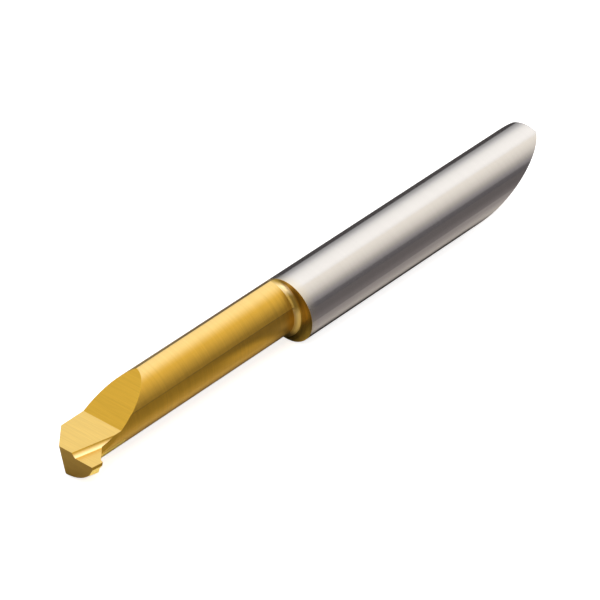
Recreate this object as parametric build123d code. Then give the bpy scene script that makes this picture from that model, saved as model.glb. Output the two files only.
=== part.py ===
"""Solid carbide boring bar for internal grooving and turning, ground from one round rod.

The bar is one piece: a plain round shank, an eccentric neck ground back from it, and a cutting head
with a flat top, a chip-breaker groove and relief-ground flanks. The rear of the shank carries an
inclined locating flat that sets its depth and its turn in the holder.

Frame: millimetres. X runs along the shank's axis, from the rear towards the cutting head. Y points
to the side that cuts. Z is the upward normal of the flat top. The origin is on the shank's axis, at
the shoulder where the shank ends and the neck begins.
"""
from build123d import *
import os
from math import cos, hypot, radians, sin, tan

# ---- Driving dimensions (millimetres, degrees) --------------------------------------------------

# Shank
SHANK_DIAMETER = 6.0
SHANK_LENGTH = 31.6          # from the shoulder to the rear end face
REAR_ROUNDING = 0.15
FLAT_ANGLE = 29.0            # locating flat against the shank's axis
END_HEIGHT = 0.25            # what the flat leaves of the rear end, below the top of the shank

# Neck, ground about an axis of its own, offset away from the cutting side
NECK_DIAMETER = 5.54
NECK_OFFSET = 1.35
NECK_FILLET = 0.49           # at the shoulder
FLANK_DEPTH = 0.04           # step down to the relieved flank below the neck's seam
FLANK_LIFT = 0.05            # the flank's axis above the neck's
SEAM_ANGLE = 19.8            # seam above the horizontal, about the flank's axis
SIDE_TAPER = 5.0             # relief on the side of the neck just behind the tooth
SIDE_LENGTH = 4.2            # from the front edge back to where that relief begins

# Head
REACH = 25.72                # from the shoulder to the front cutting edge
TOP_HEIGHT = 0.23            # flat top above the shank's axis
TOP_LENGTH = 4.62            # of the flat top, measured back from the front edge
RUNOUT_ANGLE = 29.0          # ramp from the flat top up to the neck's full round
FRONT_CLEARANCE = 8.0
CORNER_START = -1.12         # where the rear corner's cut leaves the front edge, across the bar
CORNER_ANGLE = 47.8          # that cut's outward normal, turned back from the bar's axis
CORNER_CLEARANCE = 5.0

# Chip-breaker groove
GROOVE_DEPTH = 0.48          # below the flat top
GROOVE_START = 0.34          # where its wall leaves the front edge, across the bar
GROOVE_ANGLE = 14.5          # against the bar's axis
GROOVE_WALL = 0.26           # run of its wall, square to the groove
GROOVE_RADIUS = 1.5          # hollow of that wall

# Cutting tooth
TIP_INSET = 0.45             # front corner of the tooth, inside the shank's own radius
TOOTH_WIDTH = 1.08           # cutting edge, measured along the bar
TOOTH_TAPER = 8.5            # the edge swings outwards towards the rear
LAND_HEIGHT = 0.29
LAND_CLEARANCE = 1.5
FACET_CLEARANCE = 36.0
TOOTH_BACK = 0.35            # depth of the tooth's short rear side
TOOTH_BACK_ANGLE = 18.4      # that side against a square cut
TOOTH_BACK_CLEARANCE = 15.0
RELIEF_ANGLE = 42.4          # slope from the tooth down to the neck, against the bar's axis
RELIEF_CLEARANCE = 12.0

# Belly: round clearance under the head, ground along a line that falls towards the rear
BELLY_SIDE = -1.28           # its axis across the bar, at the front edge
BELLY_HEIGHT = 2.02          # its axis above the shank's, at the front edge
BELLY_FALL = 14.0            # of that axis, against the shank's
BELLY_BITE = 0.04            # how far it stands outside the facet at the front edge
BELLY_LENGTH = 4.0           # measured back from the front edge
BELLY_SWEEP = 75.0           # round its axis, from where it faces as the facet does

# ---- Values that follow from them ---------------------------------------------------------------

shank_radius = SHANK_DIAMETER / 2
neck_radius = NECK_DIAMETER / 2
stock = 2 * (SHANK_LENGTH + REACH)           # larger than anything the cutters have to clear
floor_height = TOP_HEIGHT - GROOVE_DEPTH
top_start = REACH - TOP_LENGTH
flank_radius = neck_radius - FLANK_DEPTH
end_to_crossing = (shank_radius - END_HEIGHT) / tan(radians(FLAT_ANGLE))
along = (1, 0, 0)

tip = Vector(
    REACH - GROOVE_DEPTH * tan(radians(FRONT_CLEARANCE)), shank_radius - TIP_INSET, floor_height
)
land_foot = tip - Vector(0, 0, LAND_HEIGHT)
heel = tip + Vector(-TOOTH_WIDTH, TOOTH_WIDTH * tan(radians(TOOTH_TAPER)), 0)
notch = heel - Vector(
    TOOTH_BACK * sin(radians(TOOTH_BACK_ANGLE)), TOOTH_BACK * cos(radians(TOOTH_BACK_ANGLE)), 0
)


def radial_plane(origin, angle):
    """Plane through an axis along X: its x runs along the bar and its y outwards at the angle."""
    turn = radians(angle)
    return Plane(origin=origin, x_dir=along, z_dir=(0, -sin(turn), cos(turn)))


def outward(normal_angle, clearance):
    """Normal of a relief face.

    The angle is seen from above, from +X towards +Y, and the clearance undercuts the face.
    """
    turn = radians(normal_angle)
    slope = radians(clearance)
    return Vector(cos(turn) * cos(slope), sin(turn) * cos(slope), -sin(slope))


def beyond(point, normal_angle, clearance):
    """Stock outside a relief face through the point."""
    lowest = (Align.CENTER, Align.CENTER, Align.MIN)
    face = Plane(origin=point, z_dir=outward(normal_angle, clearance))
    return face * Box(stock, stock, stock, align=lowest)


def rod():
    """Round rod with a rounded rear edge and the inclined locating flat."""
    length = SHANK_LENGTH + REACH + 1
    bar = extrude(Plane.YZ.offset(-SHANK_LENGTH) * Circle(shank_radius), length)
    bar = fillet(bar.edges().group_by(Axis.X)[0], REAR_ROUNDING)
    return bar - beyond((end_to_crossing - SHANK_LENGTH, 0, 0), 180, 90 - FLAT_ANGLE)


def neck_ring(radius, height, start, sweep):
    """Stock that a wheel takes off round an axis at the height, with its fillet at the shoulder."""
    centre = (0, -NECK_OFFSET, height)
    outer = stock / 2
    profile = Polyline(
        (NECK_FILLET, radius),
        (stock, radius),
        (stock, outer),
        (0, outer),
        (0, radius + NECK_FILLET),
    )
    corner = RadiusArc((0, radius + NECK_FILLET), (NECK_FILLET, radius), -NECK_FILLET)
    section = radial_plane(centre, start) * make_face([*profile.edges(), corner])
    return revolve(section, Axis(centre, (-1, 0, 0)), sweep)


def behind_tooth():
    """Space behind the tooth: its short rear side and the long slope down to the neck."""
    side = beyond(heel, 180 - TOOTH_BACK_ANGLE, TOOTH_BACK_CLEARANCE)
    slope = beyond(notch, 90 + RELIEF_ANGLE, RELIEF_CLEARANCE)
    return side & slope


def neck_stock():
    """Everything ground off to form the neck, up to the back of the head."""
    round_neck = neck_ring(neck_radius, 0, 180, 360)
    flank = neck_ring(flank_radius, FLANK_LIFT, SEAM_ANGLE, 180 + SEAM_ANGLE)
    side_start = (REACH - SIDE_LENGTH, flank_radius - NECK_OFFSET, 0)
    side = beyond(side_start, 90 - SIDE_TAPER, 0) & beyond(side_start, 0, 0)
    return (round_neck + flank + side) & behind_tooth()


def top_stock():
    """Stock above the flat top and its runout ramp."""
    rise = 2 * SHANK_DIAMETER
    section = Plane.XZ * Polygon(
        (top_start, TOP_HEIGHT),
        (REACH + rise, TOP_HEIGHT),
        (REACH + rise, TOP_HEIGHT + rise),
        (top_start - rise / tan(radians(RUNOUT_ANGLE)), TOP_HEIGHT + rise),
        align=None,
    )
    return extrude(section, stock, both=True)


def chip_groove():
    """Chip-breaker: a hollow-ground wall down to a flat floor, slanted across the top."""
    turn = radians(GROOVE_ANGLE)
    mouth = Plane(
        origin=(REACH, GROOVE_START, floor_height),
        x_dir=(sin(turn), cos(turn), 0),
        z_dir=(cos(turn), -sin(turn), 0),
    )
    wall = RadiusArc((0, GROOVE_DEPTH), (GROOVE_WALL, 0), -GROOVE_RADIUS)
    rest = Polyline((GROOVE_WALL, 0), (stock, 0), (stock, stock), (0, stock), (0, GROOVE_DEPTH))
    return extrude(mouth * make_face([wall, *rest.edges()]), stock, both=True)


def belly_stock():
    """Stock outside the round that clears the underside of the head."""
    fall = radians(BELLY_FALL)
    rearwards = Vector(-cos(fall), 0, -sin(fall))
    centre = Vector(REACH, BELLY_SIDE, BELLY_HEIGHT)
    facet = outward(90 - TOOTH_TAPER, FACET_CLEARANCE)
    plane = Plane(origin=centre, x_dir=rearwards, z_dir=rearwards.cross(facet))
    to_facet = (land_foot - centre).dot(facet) / plane.y_dir.dot(facet)
    radius = to_facet + BELLY_BITE
    section = Pos(-BELLY_LENGTH / 2, radius) * Rectangle(
        2 * BELLY_LENGTH, 2 * radius, align=(Align.MIN, Align.MIN)
    )
    return revolve(plane * section, Axis(centre, rearwards), BELLY_SWEEP)


def head_stock():
    """Relief faces that bound the head: front, rear corner, tooth land, facet and belly."""
    front_edge = (REACH, 0, TOP_HEIGHT)
    corner = (REACH, CORNER_START, TOP_HEIGHT)
    return [
        beyond(front_edge, 0, FRONT_CLEARANCE),
        beyond(corner, -CORNER_ANGLE, CORNER_CLEARANCE),
        beyond(tip, 90 - TOOTH_TAPER, LAND_CLEARANCE),
        beyond(land_foot, 90 - TOOTH_TAPER, FACET_CLEARANCE),
        belly_stock(),
    ]


def boring_bar():
    """The finished bar."""
    bar = rod() - neck_stock()
    bar -= top_stock()
    bar -= chip_groove()
    for waste in head_stock():
        bar -= waste
    return bar


os.makedirs("parts", exist_ok=True)
bar = boring_bar()
export_step(bar, "parts/boring_bar.step")
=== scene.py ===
"""Studio scene for the solid carbide boring bar: bare ground shank, gold-coated neck and head."""
import bmesh, bpy
from math import cos, pi, radians, sin, tan
from mathutils import Matrix, Vector

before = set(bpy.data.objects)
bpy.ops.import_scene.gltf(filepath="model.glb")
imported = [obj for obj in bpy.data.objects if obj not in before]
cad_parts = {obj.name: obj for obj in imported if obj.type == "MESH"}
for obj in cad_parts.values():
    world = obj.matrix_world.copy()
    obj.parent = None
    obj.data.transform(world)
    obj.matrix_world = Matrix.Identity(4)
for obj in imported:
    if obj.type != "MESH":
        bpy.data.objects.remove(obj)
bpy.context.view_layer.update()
scene = bpy.context.scene

MM = 0.001


class Wire:
    """A shader socket that can be used in plain arithmetic."""

    def __init__(self, graph, socket):
        self.graph = graph
        self.socket = socket

    def output(self, key):
        """Another output of the node that this one comes from."""
        return Wire(self.graph, self.socket.node.outputs[key])

    def maths(self, operation, *values):
        return self.graph.node("ShaderNodeMath", {"operation": operation}, *values)

    def __add__(self, other):
        return self.maths("ADD", self, other)

    def __sub__(self, other):
        return self.maths("SUBTRACT", self, other)

    def __rsub__(self, other):
        return self.maths("SUBTRACT", other, self)

    def __mul__(self, other):
        return self.maths("MULTIPLY", self, other)

    def __truediv__(self, other):
        return self.maths("DIVIDE", self, other)

    def __pow__(self, other):
        return self.maths("POWER", self, other)

    __radd__ = __add__
    __rmul__ = __mul__

    def size(self):
        return self.maths("ABSOLUTE", self)

    def over(self, limit):
        """1 above the limit and 0 below it."""
        return self.maths("GREATER_THAN", self, limit)

    def between(self, low, high, start, end):
        """Carries low..high to start..end, smoothly and clamped."""
        return self.graph.node(
            "ShaderNodeMapRange", {"interpolation_type": "SMOOTHSTEP"}, self, low, high, start, end
        )

    def rising(self, low, high):
        """0 before low and 1 past high, both in millimetres."""
        return self.between(low * MM, high * MM, 0, 1)

    def falling(self, low, high):
        """1 before low and 0 past high, both in millimetres."""
        return self.between(low * MM, high * MM, 1, 0)

    def within(self, near, far):
        """1 between two soft edges, each given by where it starts and ends, in millimetres."""
        return self.rising(*near) * self.falling(*far)


class Graph:
    """Builds the nodes of one material or world."""

    def __init__(self, owner):
        owner.use_nodes = True
        self.tree = owner.node_tree
        self.tree.nodes.clear()

    def node(self, kind, settings=None, *values, output=0, **named):
        made = self.tree.nodes.new(kind)
        for name, value in (settings or {}).items():
            setattr(made, name, value)
        for key, value in [*enumerate(values), *named.items()]:
            socket = made.inputs[key if isinstance(key, int) else key.replace("_", " ")]
            if isinstance(value, Wire):
                self.tree.links.new(value.socket, socket)
            elif value is not None:
                socket.default_value = value
        return Wire(self, made.outputs[output] if len(made.outputs) else None)

    def blend(self, share, first, second):
        """Mixes two colours, or two wires that carry them."""
        pair = [(*colour, 1) if isinstance(colour, tuple) else colour for colour in (first, second)]
        unused = [None] * 5     # the node's sockets for numbers and vectors
        return self.node("ShaderNodeMix", {"data_type": "RGBA"}, share, *unused, *pair, output=2)

    def switch(self, share, first, second):
        """Mixes two wires that carry places."""
        unused = [None] * 3     # the node's sockets for numbers
        return self.node(
            "ShaderNodeMix", {"data_type": "VECTOR"}, share, *unused, first, second, output=1
        )

    def noise(self, place, scale, detail, rough):
        return self.node("ShaderNodeTexNoise", None, place, None, scale, detail, rough)

    def axes(self, vector):
        """The three numbers that a vector carries."""
        parts = self.node("ShaderNodeSeparateXYZ", None, vector)
        return [parts.output(i) for i in range(3)]

    def coordinate(self, kind):
        return self.node("ShaderNodeTexCoord").output(kind)

    def finish(self, shader, kind="ShaderNodeOutputMaterial"):
        self.node(kind, None, shader)


# ---- Camera -------------------------------------------------------------------------------------

FOCAL_LENGTH = 223.03                             # millimetres, as is the sensor
SENSOR_WIDTH = 36.0
HALF_PIXEL = 0.5 / 600                            # as a share of the frame's side
NEAREST, FARTHEST = 0.01, 20.0                    # metres
CAMERA_PLACE = (182.632, 181.737, 179.309)        # millimetres
CAMERA_RIGHT = (-0.67658, 0.73475, -0.04876)
CAMERA_UP = (-0.44640, -0.35659, 0.82071)


def make_camera():
    lens = bpy.data.cameras.new("product_camera")
    lens.lens = FOCAL_LENGTH
    lens.sensor_width = SENSOR_WIDTH
    lens.clip_start = NEAREST
    lens.clip_end = FARTHEST
    lens.shift_x = -HALF_PIXEL
    lens.shift_y = HALF_PIXEL
    camera = bpy.data.objects.new("product_camera", lens)
    right = Vector(CAMERA_RIGHT)
    up = Vector(CAMERA_UP)
    back = right.cross(up)
    place = Matrix((right, up, back)).transposed().to_4x4()
    place.translation = Vector(CAMERA_PLACE) * MM
    camera.matrix_world = place
    scene.collection.objects.link(camera)
    scene.camera = camera


# ---- Light --------------------------------------------------------------------------------------

# A tent of long panels round the bar's axis: angle from +Y towards +Z, and brightness there.
TENT = (
    (15, 0.14), (24, 0.25), (36, 0.50), (48, 0.80), (60, 0.97), (72, 1.1),
    (83.9, 1.15), (84.1, 1.33), (96, 1.4), (108, 1.4), (120, 1.34), (132, 1.16),
    (144, 0.85), (156, 0.55), (165, 0.42), (171, 0.3),
)
TENT_ANGLES = (18, 171)             # of the first panel, and the end that none reaches
TENT_STEP = 6
TENT_RADIUS = 0.8
# Tint of the panels from each angle on.
TENT_TINTS = (
    (0, (1.0, 0.96, 0.98)),
    (30, (1.0, 0.95, 0.865)),
    (84, (1.0, 0.99, 0.98)),
    (144, (0.98, 0.98, 1.0)),
)
# Each ring of panels has three parts along the bar: from, to, and the share of the ring's
# brightness that the part has from each angle on.
TENT_PARTS = (
    (-2.0, -0.2, ((0, 1.0),)),
    (-0.2, 0.32, ((0, 0.62), (84, 1.0), (112, 0.64))),
    (0.32, 1.3, ((0, 0.15), (66, 2.2), (90, 0.5))),
)
# One more panel stands alongside the bar, on the cutting side.
SIDE_PANEL_PLACE = (-0.05, 0.5, 0.32)
SIDE_PANEL_LENGTH = 0.34
SIDE_PANEL_WIDTH = 0.56
SIDE_PANEL_LEVEL = 1.42
SIDE_PANEL_TINT = (1.0, 0.97, 0.92)
# What the bar mirrors beyond the floor and the lamps. The level goes from that of the -Y side to
# that of the +Y side, and rises off both ends of the bar. The edges are parts of a unit direction.
HORIZON_LEVELS = (0.05, 0.155)
HORIZON_EDGE = (-0.3, 0.3)
END_GLOW = 0.45
END_GLOW_EDGE = (0.82, 0.97)
HORIZON_TINT = (1.0, 0.93, 1.0)
WHITE = (1.0, 1.0, 1.0)
BLACK = (0.0, 0.0, 0.0)


def tent_level(angle):
    for (low, dim), (high, bright) in zip(TENT, TENT[1:]):
        if low <= angle <= high:
            return dim + (bright - dim) * (angle - low) / (high - low)


def reached(steps, angle):
    """The value of the last step that starts at or before the angle."""
    return [value for first, value in steps if angle >= first][-1]


def add_panel(place, turn, length, width, brightness, tint):
    lamp = bpy.data.lights.new("studio_panel", "AREA")
    lamp.shape = "RECTANGLE"
    lamp.size = length
    lamp.size_y = width
    lamp.energy = brightness * pi * length * width
    lamp.color = tint
    panel = bpy.data.objects.new("studio_panel", lamp)
    panel.location = place
    panel.rotation_euler = (turn, 0, 0)
    panel.visible_camera = False
    scene.collection.objects.link(panel)


def make_tent():
    width = 2 * TENT_RADIUS * tan(radians(TENT_STEP / 2))
    for angle in range(*TENT_ANGLES, TENT_STEP):
        turn = radians(angle)
        tint = reached(TENT_TINTS, angle)
        for start, end, shares in TENT_PARTS:
            level = tent_level(angle) * reached(shares, angle)
            place = ((start + end) / 2, TENT_RADIUS * cos(turn), TENT_RADIUS * sin(turn))
            add_panel(place, turn - pi / 2, end - start, width, level, tint)


def make_side_panel():
    add_panel(
        SIDE_PANEL_PLACE, radians(-90), SIDE_PANEL_LENGTH, SIDE_PANEL_WIDTH, SIDE_PANEL_LEVEL,
        SIDE_PANEL_TINT,
    )


def make_world():
    """White to the camera, and a dim surrounding in what the metal mirrors."""
    world = bpy.data.worlds.new("studio")
    scene.world = world
    g = Graph(world)
    camera_ray = g.node("ShaderNodeLightPath").output("Is Camera Ray")
    along, side, _ = g.axes(g.coordinate("Generated"))
    horizon = side.between(*HORIZON_EDGE, *HORIZON_LEVELS)
    horizon = horizon + along.size().between(*END_GLOW_EDGE, 0, END_GLOW)
    level = horizon * (1 - camera_ray) + camera_ray
    shade = g.blend(camera_ray, HORIZON_TINT, WHITE)
    g.finish(g.node("ShaderNodeBackground", None, shade, level), "ShaderNodeOutputWorld")


# ---- Floor --------------------------------------------------------------------------------------

FLOOR_HALF_SIDE = 3.0               # metres; the other sizes here are millimetres
FLOOR_DEPTH = 3.0                   # below the shank's axis
FLOOR_TONE = (0.8, 0.8, 0.8)
FLOOR_ROUGHNESS = 0.9
# The glow that keeps the floor white to the camera, weaker near the bar so that its shadow shows.
SHADOW_REACH = (100, 600)
SHADOW_GLOW = 0.72
# All the rest is what polished metal mirrors instead: a floor that is light beside the bar, dark
# under it and dim far away. Its patches and tints are set for the product camera.
# The dark strip under the bar is a painted shadow, and the brighter patches are painted light.
NECK_MIDDLE = -1.7                  # of the dark strip where it lies under the neck
UNDER_EDGE = (2.0, 3.0)             # of the strip, from its middle
UNDER_REAR = (-27, -21)             # of the strip, under the rear end's slant
UNDER_SHANK, UNDER_NECK = 0.05, 0.12    # share of light it keeps, and what the neck adds to that
FADE_START, FADE_LENGTH = 3.0, 2.2  # how the light falls off away from the bar
FADE_LEVEL, FADE_NECK = 0.70, 0.07  # how bright it is there, and what the neck adds to that
FAR_EDGE = (-12, 12)
FAR_LEVELS = (0.09, 0.17)           # far from the bar, on the -Y side and on the +Y side
NECK_FAR = 0.12                     # added from the shoulder forward
BEHIND_NECK = 0.2                   # added far away on the neck's -Y side
BEHIND_NECK_ACROSS, BEHIND_NECK_ALONG = (-9, -6), (-9, -6)
AHEAD_EDGE = (25.0, 25.8)           # from here on, ahead of the head, the floor has one level
AHEAD_LEVEL = 0.41
# Painted light patches: the soft edges along the bar, those across it, and how much brighter it is.
BY_TOOTH = ((21, 22.5), (25, 26)), ((0.2, 1.2), (2.6, 3.6)), 0.45
BY_SHOULDER = ((1, 2), (5, 6.5)), ((2.8, 3.6), (6, 8)), 0.2
# Painted shade on the floor below the shoulder.
BELOW_SHOULDER = ((-2, -0.5), (0.8, 1.8))
BELOW_SHOULDER_DIMMING = 0.4
# Tints: far from the bar and close to it, by the shank and by the neck, and ahead of the head.
SHANK_CASTS = (1.0, 0.93, 0.97), (1.0, 0.965, 0.935)
NECK_CASTS = (1.0, 0.925, 0.62), (1.0, 0.965, 0.56)
AHEAD_CAST = (1.0, 0.97, 0.75)


def mirrored_floor(g, x, y):
    """Colour of the floor as the bar mirrors it: light close by, dim further away."""
    beside_neck = x.over(0)
    aside = (y - beside_neck * (NECK_MIDDLE * MM)).size()
    lit = aside.rising(*UNDER_EDGE)
    lit = 1 - (1 - lit) * x.rising(*UNDER_REAR)
    fading = g.node(
        "ShaderNodeMath", {"operation": "EXPONENT"},
        (FADE_START * MM - aside) / (FADE_LENGTH * MM),
    )
    fading = g.node("ShaderNodeMath", {"operation": "MINIMUM"}, fading, 1.0)

    far = y.between(FAR_EDGE[0] * MM, FAR_EDGE[1] * MM, *FAR_LEVELS)
    behind_neck = y.falling(*BEHIND_NECK_ACROSS) * x.rising(*BEHIND_NECK_ALONG)
    far = far + behind_neck * BEHIND_NECK
    level = far + beside_neck * NECK_FAR + fading * (FADE_LEVEL + FADE_NECK * beside_neck)
    level = (lit + (1 - lit) * (UNDER_SHANK + beside_neck * UNDER_NECK)) * level
    ahead = x.rising(*AHEAD_EDGE)
    level = level * (1 - ahead) + ahead * AHEAD_LEVEL
    level = level * (1 - x.within(*BELOW_SHOULDER) * BELOW_SHOULDER_DIMMING)
    for along, across, brighter in (BY_TOOTH, BY_SHOULDER):
        level = level + x.within(*along) * y.within(*across) * brighter

    cast = g.blend(fading, *SHANK_CASTS)
    cast = g.blend(beside_neck, cast, g.blend(fading, *NECK_CASTS))
    cast = g.blend(ahead, cast, AHEAD_CAST)
    return g.node("ShaderNodeVectorMath", {"operation": "SCALE"}, cast, Scale=level)


def floor_material():
    """White to the camera, with the bar's soft shadow, and dim in what the bar mirrors."""
    made = bpy.data.materials.new("pale_floor")
    g = Graph(made)
    ray = g.node("ShaderNodeLightPath")
    camera_ray = ray.output("Is Camera Ray")
    glossy_ray = ray.output("Is Glossy Ray")
    x, y, _ = g.axes(g.coordinate("Object"))
    tone = g.blend(glossy_ray, FLOOR_TONE, mirrored_floor(g, x, y))
    from_bar = (x ** 2 + y ** 2) ** 0.5
    clear = from_bar.between(SHADOW_REACH[0] * MM, SHADOW_REACH[1] * MM, SHADOW_GLOW, 1)
    glow = g.blend(camera_ray * clear, BLACK, WHITE)
    g.finish(g.node(
        "ShaderNodeBsdfPrincipled", None,
        Base_Color=tone, Roughness=FLOOR_ROUGHNESS, Specular_IOR_Level=0.0,
        Emission_Color=glow, Emission_Strength=1.0,
    ))
    return made


def make_floor():
    mesh = bpy.data.meshes.new("floor")
    sheet = bmesh.new()
    bmesh.ops.create_grid(sheet, x_segments=1, y_segments=1, size=FLOOR_HALF_SIDE)
    bmesh.ops.translate(sheet, verts=sheet.verts, vec=(0, 0, -FLOOR_DEPTH * MM))
    sheet.to_mesh(mesh)
    sheet.free()
    mesh.materials.append(floor_material())
    floor = bpy.data.objects.new("floor", mesh)
    scene.collection.objects.link(floor)


# ---- Finishes -----------------------------------------------------------------------------------

# Places on the bar, in millimetres.
COATING_START = -0.02
OVERSPRAY_START = -1.1
NECK_OFFSET = 1.35                  # of the neck's axis, away from the cutting side
SHOULDER_END = 0.05
FILLET_ENDS = (0.015, 0.47)
FILLET_RADIUS = 3.25                # the fillet's outer edge, from the neck's axis
RAMP_FROM = 10                      # anywhere between the shoulder and the ramp
HEAD_START = 20.5
FLAT_TOP = 0.2295                   # just below the flat top
GROOVE_FLOOR = -0.2495              # just above the groove's floor
# Heights over which the groove wall's painted highlight fades out towards the flat top.
GROOVE_HIGHLIGHT_HEIGHTS = (-0.25, 0.2)
# A thin dark line of painted shade runs along the seam, the small step on the neck's cutting side.
SEAM_HEIGHT = 0.975
SEAM_HALF_WIDTH = 0.045
SEAM_SIDE = 1.1                     # the seam lies on the cutting side of this
SEAM_ENDS = (0.35, 22.5)
# Heights of the fillet's painted highlight and of its pale lower crescent, a painted highlight too.
FILLET_HIGHLIGHT_HEIGHTS = ((1.85, 2.4), (2.5, 2.8))
CRESCENT_HIGHLIGHT_HEIGHTS = (0.25, 1.15)

# How squarely a face looks along an axis, which tells the faces apart.
SHOULDER_FORWARD = 0.98
RAMP_FORWARD = 0.3
TOP_UPWARD = 0.8                    # the flat top and the ramp
GROOVE_UPWARD = (0.2, 0.9)
FACET_UPWARD, FACET_SIDEWAYS = -0.4, 0.4
# Faces that look upward, apart from the ramp, take a paler gold as a painted highlight.
HIGHLIGHT_UPWARD = (0.78, 0.97)

# Grinding marks. A noise is given by its scale, its detail and its roughness; the stretches draw it
# out into lines.
FINE, BROAD = (9000.0, 2.0, 0.6), (4800.0, 2.0, 0.6)
FINE_SHARE, BROAD_SHARE = 0.65, 0.35
RING_STRETCH = (1.0, 0.02, 0.02)
LINE_STRETCH = (1.0, 0.03, 0.03)
LINE_SLANT = -10
ARC_STRETCH = 0.05
MARK_RANGE = (0.34, 0.66)
MARK_CONTRAST, SHOULDER_CONTRAST = 0.6, 0.4
TURNING = (1500.0, 3.0, 0.6)
TURNING_RANGE = (0.36, 0.62)
CLOUD = (350.0, 3.0, 0.55)

# Colours in pairs are those of the marks' darkest and palest parts.
BARE_CARBIDE = (0.605, 0.585, 0.560), (0.635, 0.615, 0.590)
OVERSPRAYED = (0.68, 0.60, 0.44)
GOLD_ROUND = (0.59, 0.335, 0.020), (0.71, 0.410, 0.032)
GOLD_RAMP = (0.74, 0.425, 0.022), (0.87, 0.510, 0.034)
# Paler golds for faces that look upward: a painted highlight.
HIGHLIGHT_GOLD_ROUND = (0.68, 0.472, 0.143), (0.80, 0.558, 0.190)
HIGHLIGHT_GOLD_FLAT = (0.75, 0.507, 0.122), (0.89, 0.612, 0.152)
GOLD_SHOULDER = (0.36, 0.245, 0.045), (0.68, 0.47, 0.10)
# The fillet's darker middle is painted shade; its spot and its crescent are painted highlights.
FILLET_PAINTED_SHADE = (0.40, 0.26, 0.04)
FILLET_PAINTED_HIGHLIGHT = (1.0, 0.80, 0.42)
FILLET_CRESCENT_HIGHLIGHT = (1.0, 0.74, 0.32)
# Painted highlight on the groove wall, palest towards the groove's floor.
GROOVE_WALL_HIGHLIGHT = (0.98, 0.76, 0.38)
# Painted highlight on the facet under the tooth.
TOOTH_FACET_HIGHLIGHT = (0.93, 0.72, 0.17)
# Painted shade along the seam's step.
SEAM_PAINTED_SHADE = (0.16, 0.09, 0.015)
OVERSPRAY_SHARE, FILLET_SHADE_SHARE, SEAM_SHARE = 0.4, 0.8, 0.75

POLISH = 0.155                      # roughness of the bare carbide, and what is added to it
COATING_ROUGHER = 0.165
FILLET_ROUGHER = 0.09
OVERSPRAY_ROUGHER = 0.09
MARKS_ROUGHER = 0.08
CLOUD_ROUGHER = 0.03
HONED_EDGE = 0.03                   # millimetres, as is the depth of the marks
MARK_DEPTH = 0.002
MARK_STRENGTH = 0.12
HONING_SAMPLES = 4
SHEEN = 0.5                         # clear layer over the gold
SHEEN_ROUGHNESS = 0.35
SHEEN_IOR = 1.6


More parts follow.
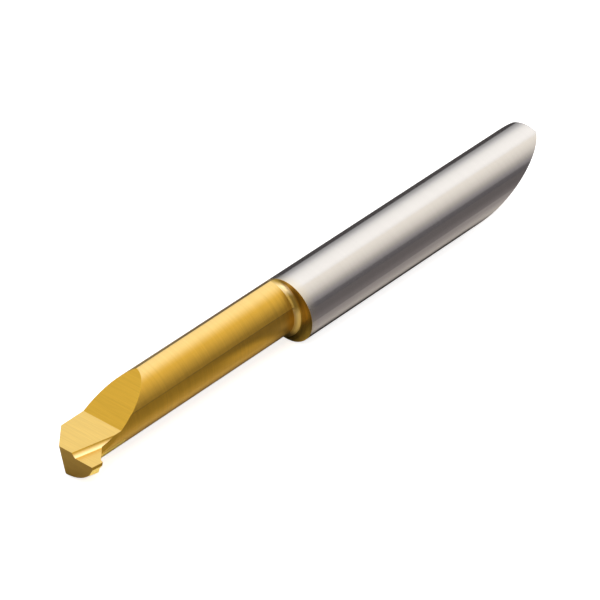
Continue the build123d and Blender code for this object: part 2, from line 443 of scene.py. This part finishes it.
def bar_finish():
    """Bare ground carbide behind the shoulder, gold coating in front of it."""
    made = bpy.data.materials.new("ground_carbide_and_gold_coating")
    g = Graph(made)
    place = g.coordinate("Object")
    x, y, z = g.axes(place)
    nx, ny, nz = g.axes(g.coordinate("Normal"))

    coated = x.over(COATING_START * MM)
    overspray = x.rising(OVERSPRAY_START, 0) * (1 - coated)
    from_neck_axis = ((y + NECK_OFFSET * MM) ** 2 + z ** 2) ** 0.5
    shoulder = nx.over(SHOULDER_FORWARD) * (1 - x.over(SHOULDER_END * MM))
    fillet = x.over(FILLET_ENDS[0] * MM) * (1 - x.over(FILLET_ENDS[1] * MM))
    fillet = fillet * (1 - from_neck_axis.over(FILLET_RADIUS * MM))
    head = x.over(HEAD_START * MM)
    ramp = nx.over(RAMP_FORWARD) * nz.over(TOP_UPWARD) * x.over(RAMP_FROM * MM)
    on_top = 1 - (1 - ramp) * (1 - head * nz.over(TOP_UPWARD))
    in_groove = (1 - z.over(FLAT_TOP * MM)) * z.over(GROOVE_FLOOR * MM)
    groove_wall = head * in_groove * nz.over(GROOVE_UPWARD[0]) * (1 - nz.over(GROOVE_UPWARD[1]))
    facet = head * (1 - nz.over(FACET_UPWARD)) * ny.over(FACET_SIDEWAYS)
    seam = (z - SEAM_HEIGHT * MM).size().falling(0, SEAM_HALF_WIDTH) * y.over(SEAM_SIDE * MM)
    seam = seam * x.over(SEAM_ENDS[0] * MM) * (1 - x.over(SEAM_ENDS[1] * MM)) * (1 - ramp)

    # Lay of the grinding marks: rings round the bar, lines on the head, arcs on the shoulder.
    rings = g.node("ShaderNodeMapping", None, place, Scale=RING_STRETCH)
    lines = g.node(
        "ShaderNodeMapping", None, place,
        Rotation=(0, 0, radians(LINE_SLANT)), Scale=LINE_STRETCH,
    )
    arcs = g.node("ShaderNodeCombineXYZ", None, from_neck_axis, y * ARC_STRETCH, z * ARC_STRETCH)
    lay = g.switch(shoulder, g.switch(on_top, rings, lines), arcs)
    marks = g.noise(lay, *FINE) * FINE_SHARE + g.noise(lay, *BROAD) * BROAD_SHARE
    streak = marks.between(*MARK_RANGE, 0, 1)
    streak = (streak - 0.5) * (MARK_CONTRAST + SHOULDER_CONTRAST * shoulder) + 0.5
    turned = g.noise(arcs, *TURNING).between(*TURNING_RANGE, 0, 1)
    cloud = g.noise(place, *CLOUD)

    bare = g.blend(overspray * OVERSPRAY_SHARE, g.blend(streak, *BARE_CARBIDE), OVERSPRAYED)
    deep = g.blend(ramp, g.blend(streak, *GOLD_ROUND), g.blend(streak, *GOLD_RAMP))
    highlight_gold = g.blend(on_top, g.blend(streak, *HIGHLIGHT_GOLD_ROUND), g.blend(streak, *HIGHLIGHT_GOLD_FLAT))
    # Painted highlight: paler gold on faces that look upward, but not on the ramp.
    upward_highlight = nz.between(*HIGHLIGHT_UPWARD, 0, 1) * (1 - ramp)
    gold = g.blend(upward_highlight, deep, highlight_gold)
    for share, colour in (
        # painted shade and painted highlights on the fillet
        (fillet * FILLET_SHADE_SHARE, FILLET_PAINTED_SHADE),
        (fillet * z.within(*FILLET_HIGHLIGHT_HEIGHTS), FILLET_PAINTED_HIGHLIGHT),
        (fillet * z.falling(*CRESCENT_HIGHLIGHT_HEIGHTS), FILLET_CRESCENT_HIGHLIGHT),
        # painted highlight on the groove wall
        (groove_wall * z.falling(*GROOVE_HIGHLIGHT_HEIGHTS), GROOVE_WALL_HIGHLIGHT),
        # painted highlight on the tooth's facet
        (facet, TOOTH_FACET_HIGHLIGHT),
        (shoulder, g.blend(turned, *GOLD_SHOULDER)),
        # painted shade along the seam
        (seam * SEAM_SHARE, SEAM_PAINTED_SHADE),
    ):
        gold = g.blend(share, gold, colour)
    colour = g.blend(coated, bare, gold)

    roughness = POLISH + coated * COATING_ROUGHER
    roughness = roughness + fillet * FILLET_ROUGHER + overspray * OVERSPRAY_ROUGHER
    roughness = roughness + (marks - 0.5) * MARKS_ROUGHER + (cloud - 0.5) * CLOUD_ROUGHER
    honed = g.node("ShaderNodeBevel", {"samples": HONING_SAMPLES}, HONED_EDGE * MM)
    bump = g.node(
        "ShaderNodeBump", None,
        Strength=MARK_STRENGTH, Distance=MARK_DEPTH * MM, Height=marks, Normal=honed,
    )
    g.finish(g.node(
        "ShaderNodeBsdfPrincipled", None,
        Base_Color=colour, Metallic=1.0, Roughness=roughness, Normal=bump,
        Coat_Weight=coated * SHEEN, Coat_Roughness=SHEEN_ROUGHNESS, Coat_IOR=SHEEN_IOR,
    ))
    return made


def main():
    make_camera()
    make_world()
    make_floor()
    make_tent()
    make_side_panel()
    finish = bar_finish()
    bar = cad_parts["boring_bar"]
    for slot in bar.material_slots:
        slot.material = finish
    scene.view_settings.view_transform = "Standard"


main()
